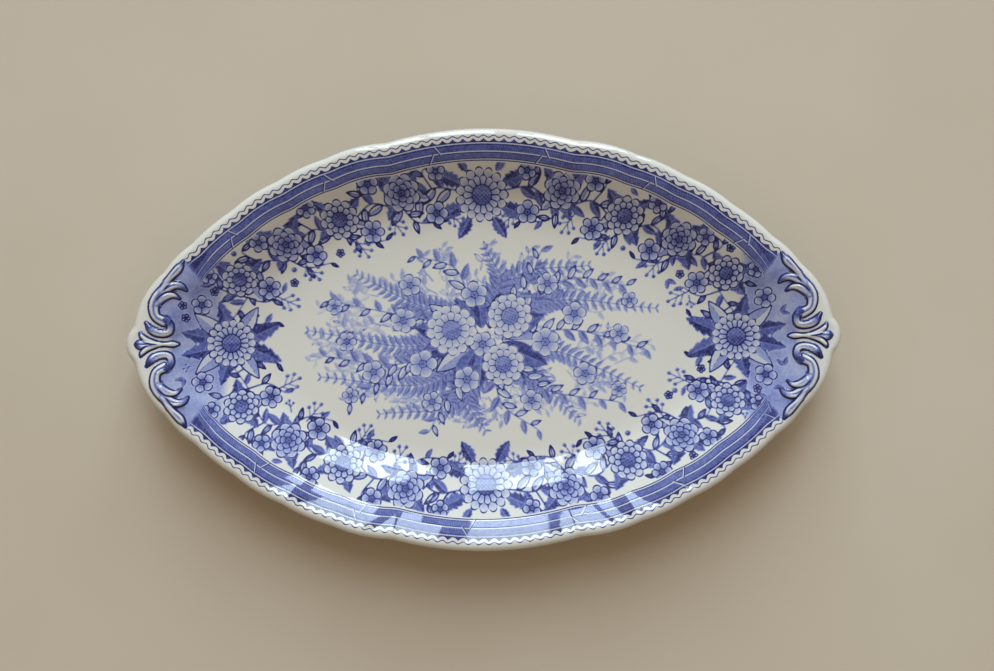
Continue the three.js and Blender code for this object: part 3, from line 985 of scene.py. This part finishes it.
class Nodes:
    """Short calls for building a material's node tree."""

    def __init__(self, name):
        self.material = bpy.data.materials.new(name)
        self.material.use_nodes = True
        self.tree = self.material.node_tree

    def feed(self, node, inputs):
        """Links or sets a node's inputs, which are given by name or number."""
        for key, value in inputs.items():
            if isinstance(value, bpy.types.NodeSocket):
                self.tree.links.new(value, node.inputs[key])
            else:
                node.inputs[key].default_value = value

    def add(self, kind, inputs, **settings):
        node = self.tree.nodes.new(kind)
        for key, value in settings.items():
            setattr(node, key, value)
        self.feed(node, inputs)
        return node

    def shade(self, inputs):
        """Feeds the material's own shader."""
        self.feed(self.tree.nodes["Principled BSDF"], inputs)
        return self.material

    def math(self, operation, *values):
        return self.add("ShaderNodeMath", dict(enumerate(values)), operation=operation).outputs[0]

    def times(self, value, other):
        return self.math("MULTIPLY", value, other)

    def most(self, value, other):
        return self.math("MAXIMUM", value, other)

    def less(self, value, other):
        return self.math("SUBTRACT", value, other)

    def scaled(self, value, scale, shift):
        return self.math("MULTIPLY_ADD", value, scale, shift)

    def ramp(self, value, low, high, start=0.0, end=1.0):
        """Smooth step from start to end as the value goes from low to high."""
        inputs = dict(enumerate((value, low, high, start, end)))
        return self.add("ShaderNodeMapRange", inputs, interpolation_type="SMOOTHSTEP").outputs[0]

    def value(self, name):
        return self.add("ShaderNodeAttribute", {}, attribute_name=name).outputs["Fac"]

    def place(self):
        return self.add("ShaderNodeTexCoord", {}).outputs["Object"]

    def noise(self, scale, detail=3.0, roughness=0.5):
        inputs = {"Scale": scale, "Detail": detail, "Roughness": roughness, "Vector": self.place()}
        return self.add("ShaderNodeTexNoise", inputs).outputs["Fac"]

    def colours(self, value, stops):
        """Colours between stops, each with its place from 0 to 1."""
        node = self.add("ShaderNodeValToRGB", {"Fac": value})
        elements = node.color_ramp.elements
        while len(elements) < len(stops):
            elements.new(0.5)
        for element, (place, colour) in zip(elements, stops):
            element.position = place
            element.color = (*colour, 1)
        return node.outputs["Color"]

    def bump(self, height, strength, distance):
        inputs = {"Strength": strength, "Distance": distance, "Height": height}
        return self.add("ShaderNodeBump", inputs).outputs["Normal"]


CREAM = (0.65, 0.624, 0.564)
PALE_BLUE = (0.29, 0.325, 0.545)
MID_BLUE = (0.095, 0.115, 0.345)
DEEP_BLUE = (0.0145, 0.0135, 0.083)
INKS = [(0.0, CREAM), (0.3, PALE_BLUE), (0.62, MID_BLUE), (0.95, DEEP_BLUE)]
THIN_GLAZE = (0.93, 0.86, 0.76, 1)  # what the rim's edge is tinted by
BARE_CLAY = [(0.0, CREAM), (0.6, (0.52, 0.44, 0.34)), (1.0, (0.62, 0.54, 0.43))]
FLOOR_COLOURS = [(0.3, (0.50, 0.415, 0.315)), (0.7, (0.53, 0.445, 0.345))]
GLAZE_IOR = 1.5

# The edging inside the rim, in millimetres from the outer edge
WAVE_LINE = 2.75
WAVE_SWING = 0.36
STROKE_SOFT = 0.12
STRIP_SOFT = 0.06
CURLED_FROM = 5  # lines from here in turn in at their ends
BAND_STRIPS = [(4.35, 4.95, 0.95), (4.95, 5.8, 0.88), (5.8, 7.5, 0.72), (7.5, BAND_INNER, 0.64)]
PALE_LINES = [4.95, 7.6, 10.15]
DARK_LINES = [7.95, 9.85, 10.5]
TIE_PITCHES = 11  # waves from one tie to the next of its kind
TIES = [(5.1, 7.9, 0.2, 0.0), (7.3, 10.4, -0.18, 0.2)]  # start, end, lean and place along the rim
TIE_STROKES = [(12.4, 0.95), (11.95, 0.15)]  # place along the rim and ink


def edging_ink(nodes):
    """Ink of the wavy line, the row of teeth and the lined band with its ties inside the rim."""
    inset, bent, along = (nodes.value(name) for name in ("inset", "bent", "along"))

    def stroke(value, place, half, ink, bare):
        """One amount of ink on a line across the value, and another beside it."""
        gap = nodes.math("ABSOLUTE", nodes.less(value, place))
        return nodes.ramp(gap, half, half + STROKE_SOFT, ink, bare)

    def depth(place):
        return inset if place < CURLED_FROM else bent

    sway = nodes.math("COSINE", nodes.times(along, math.tau))
    wave = stroke(inset, nodes.scaled(sway, WAVE_SWING, WAVE_LINE), half=0.12, ink=0.85, bare=0.0)
    lobes = nodes.math("ABSOLUTE", nodes.math("COSINE", nodes.times(along, math.pi)))
    slope = nodes.scaled(lobes, TEETH[1] - TEETH[0], TEETH[0])
    teeth = nodes.ramp(nodes.less(inset, slope), -0.08, 0.08)
    band = nodes.times(teeth, nodes.ramp(inset, TEETH[1], TEETH[1] + 0.1, 0.95, 0.0))
    for start, end, strength in BAND_STRIPS:
        begun = nodes.ramp(depth(start), start - STRIP_SOFT, start + STRIP_SOFT)
        left = nodes.ramp(depth(end), end - STRIP_SOFT, end + STRIP_SOFT, strength, 0.0)
        band = nodes.most(band, nodes.times(begun, left))
    hatch = nodes.math("SINE", nodes.scaled(along, 26.0, nodes.times(inset, 3.0)))
    band = nodes.times(band, nodes.scaled(hatch, 0.07, 0.95))
    band = nodes.times(band, nodes.scaled(nodes.noise(650, roughness=0.65), 0.7, 0.65))
    for place in DARK_LINES:
        band = nodes.most(band, stroke(bent, place, half=0.1, ink=0.9, bare=0.0))
    for place in PALE_LINES:
        band = nodes.times(band, stroke(depth(place), place, half=0.13, ink=0.2, bare=1.0))
    for start, end, lean, shift in TIES:
        turn = nodes.math("DIVIDE", nodes.scaled(inset, lean, along), TIE_PITCHES)
        run = nodes.times(nodes.math("FRACT", nodes.math("ADD", turn, shift)), TIE_PITCHES * WAVE_PITCH)
        begun = nodes.ramp(inset, start, start + 0.2)
        within = nodes.times(begun, nodes.ramp(inset, end, end + 0.2, 1.0, 0.0))
        for place, shade in TIE_STROKES:
            mark = nodes.times(stroke(run, place, half=0.16, ink=1.0, bare=0.0), within)
            band = nodes.math("ADD", band, nodes.times(mark, nodes.less(shade, band)))
    return nodes.times(nodes.most(wave, band), nodes.value("edging"))


def printed_glaze(name):
    """Clear gloss glaze over a cobalt print on cream earthenware, thinner at the rim's edge."""
    nodes = Nodes(name)
    grain = nodes.noise(5200, detail=1.0)
    drift = nodes.noise(120)
    mottle = nodes.scaled(nodes.noise(900, roughness=0.65), 0.9, 0.55)
    wash = nodes.times(nodes.value("wash"), nodes.scaled(drift, 1.2, 0.4))
    tone = nodes.times(nodes.most(nodes.value("tone"), wash), mottle)
    line = nodes.ramp(nodes.value("line"), 0.2, 0.52)
    strength = nodes.ramp(nodes.value("line"), 0.3, 0.8, 0.66, 1.0)
    ink = nodes.most(tone, nodes.times(line, strength))
    ink = nodes.most(ink, edging_ink(nodes))
    ink = nodes.times(ink, nodes.scaled(grain, 0.7, 0.65))
    ink = nodes.times(ink, nodes.scaled(drift, 0.4, 0.8))
    thin = nodes.ramp(nodes.scaled(drift, 1.2, nodes.value("inset")), 0.4, 1.8, 0.55, 0.0)
    layers = {"Factor": thin, 6: nodes.colours(ink, INKS), 7: THIN_GLAZE}
    worn = nodes.add("ShaderNodeMix", layers, data_type="RGBA", blend_type="MULTIPLY")
    return nodes.shade({
        "Base Color": worn.outputs[2],
        "Roughness": nodes.ramp(nodes.noise(140), 0.3, 0.7, 0.02, 0.05),
        "IOR": GLAZE_IOR,
        "Coat Weight": 0.35,
        "Coat Roughness": 0.02,
        "Normal": nodes.bump(nodes.noise(160, detail=2.0), strength=0.1, distance=0.00022),
    })


def foot_glaze():
    """The same cream glaze, ground off on the standing face."""
    nodes = Nodes("foot_glaze")
    height = nodes.add("ShaderNodeSeparateXYZ", {0: nodes.place()}).outputs["Z"]
    worn = nodes.math("ADD", height, nodes.times(nodes.noise(700), 0.0005))
    bare = nodes.ramp(worn, 0.0004, 0.0008, 1.0, 0.0)
    return nodes.shade({
        "Base Color": nodes.colours(bare, BARE_CLAY),
        "Roughness": nodes.ramp(bare, 0.0, 1.0, 0.08, 0.75),
        "IOR": GLAZE_IOR,
        "Normal": nodes.bump(nodes.noise(900), strength=0.2, distance=0.0002),
    })


def floor_paint():
    nodes = Nodes("floor_paint")
    return nodes.shade({"Base Color": nodes.colours(nodes.noise(9), FLOOR_COLOURS), "Roughness": 0.6})


# The foot

FOOT_INSET = 1.5
FOOT_BAND = 5.0
FOOT_TREAD = 2.8
FOOT_EASE = 0.7  # radius of the tread's rounded sides
FOOT_FLARE = 2.2
FOOT_JOIN = 0.02  # how far it reaches into the underside
FOOT_COLUMNS = 360


def make_foot(material):
    """An oval ring with a rounded tread, flared where it joins the underside."""
    slack = (FOOT_BAND - FOOT_TREAD) / 2
    low_out = -FOOT_INSET - slack
    low_in = low_out - FOOT_TREAD
    ease = FOOT_EASE
    turns = ease * direction(np.linspace(0, math.pi / 2, 6))
    outer = (low_out - ease, ease) + turns * (1, -1)
    inner = (low_in + ease, ease) - turns[:, ::-1]
    shares = np.linspace(0, 1, 7)[1:]
    flare = slack * shares ** FOOT_FLARE
    heights = ease + (FOOT_HEIGHT - ease + FOOT_JOIN) * shares
    fall = np.column_stack([low_in - flare, heights])
    rise = np.column_stack([low_out + flare, heights])[::-1]
    oval = direction(np.linspace(0, math.tau, FOOT_COLUMNS, endpoint=False)) * HALF_WELL
    outward = outward_normals(oval)
    rings = RingMesh()
    for out, height in np.vstack([rise, outer, inner, fall]):
        rings.add(oval + outward * out, height, False)
    rings.bridge(*rings.last, 0, FOOT_COLUMNS, False)
    return mesh_object("glazed_foot", np.concatenate(rings.points), np.concatenate(rings.faces), material)


# Floor, light and camera: places and sizes in metres, powers in watts

IMAGE_WIDTH = 994
DISH_WIDTH_PX = 717  # tip to tip in the photograph
IMAGE_MIDDLE = (4.5, 1.4)  # the dish's place in millimetres under the middle of the photograph
SENSOR_WIDTH = 36.0
CAMERA_HEIGHT = 0.75
CAMERA_ROLL = math.radians(-0.8)
FLOOR_GAP = 0.00005  # keeps the floor's face off the foot's
WINDOW_DISTANCE = 2.2
LOW_PANES = [(-0.55, 0.2), (-0.15, 0.46), (0.66, 0.6)]  # middle and width
HIGH_PANES = [(-0.55, 0.2), (-0.15, 0.46), (0.51, 0.53)]
PANE_ROWS = [(0.56, 1.6, LOW_PANES), (1.7, 3.76, HIGH_PANES), (3.86, 6.4, HIGH_PANES)]  # bottom and top
PANE_RADIANCE = 8.6
PANE_COLOUR = (0.72, 0.88, 1.0)
ROOM_COLOUR = (1.0, 0.8, 0.57)
# Other lights: name, place, aim, size, power, colour, and whether the glaze mirrors it
LIGHTS = [
    ("window_wall", (0, 2.3, 2.3), (0, 0, 2.3), (5.0, 4.4), 34.0, PANE_COLOUR, True),
    ("sky", (0, 1.1, 1.9), (0, 0, 0.02), (3.0, 1.8), 6.8, (1.0, 0.955, 0.9), False),
    ("room", (0, -0.7, 2.2), (0, 0, 0.02), (3.4, 3.0), 14.0, ROOM_COLOUR, False),
]


def make_floor(material):
    bpy.ops.mesh.primitive_plane_add(size=16)
    floor = bpy.context.object
    floor.name = "floor"
    floor.location.z = -FLOOR_GAP
    floor.data.materials.append(material)


def area_light(name, place, aim, size, power, colour, mirrored):
    light = bpy.data.lights.new(name, "AREA")
    light.shape = "RECTANGLE"
    light.size, light.size_y = size
    light.energy = power
    light.color = colour
    lamp = linked_object(name, light)
    lamp.location = place
    lamp.visible_glossy = mirrored
    x, y, z = np.subtract(aim, place)
    tilt = math.acos(-z / math.hypot(x, y, z))
    lamp.rotation_euler = (tilt, 0, math.atan2(y, x) - math.pi / 2)


def make_light():
    panes = [(x, width, low, high) for low, high, columns in PANE_ROWS for x, width in columns]
    for i, (x, width, low, high) in enumerate(panes):
        z = (low + high) / 2
        power = math.pi * width * (high - low) * PANE_RADIANCE
        place = (x, WINDOW_DISTANCE, z)
        area_light(f"pane_{i}", place, (x, 0, z), (width, high - low), power, PANE_COLOUR, True)
    for light in LIGHTS:
        area_light(*light)
    world = bpy.data.worlds.new("room")
    world.use_nodes = True
    background = world.node_tree.nodes["Background"]
    background.inputs["Color"].default_value = (*ROOM_COLOUR, 1)
    background.inputs["Strength"].default_value = 0.16
    bpy.context.scene.world = world


def make_camera():
    data = bpy.data.cameras.new("camera")
    data.sensor_width = SENSOR_WIDTH
    view_width = 2 * HALF_LENGTH * MM * IMAGE_WIDTH / DISH_WIDTH_PX
    data.lens = SENSOR_WIDTH * (CAMERA_HEIGHT - HEIGHT * MM) / view_width
    camera = linked_object("camera", data)
    camera.location = (IMAGE_MIDDLE[0] * MM, IMAGE_MIDDLE[1] * MM, CAMERA_HEIGHT)
    camera.rotation_euler = (0, 0, CAMERA_ROLL)
    bpy.context.scene.camera = camera


bpy.context.scene.view_settings.view_transform = "Standard"
make_camera()
make_light()
make_floor(floor_paint())

pieces = make_dish(printed_glaze("printed_glaze"), printed_glaze("relief_glaze"))
pieces["foot_ring"] = make_foot(foot_glaze())
for node, piece in pieces.items():
    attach(piece, "root")
    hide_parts(node)
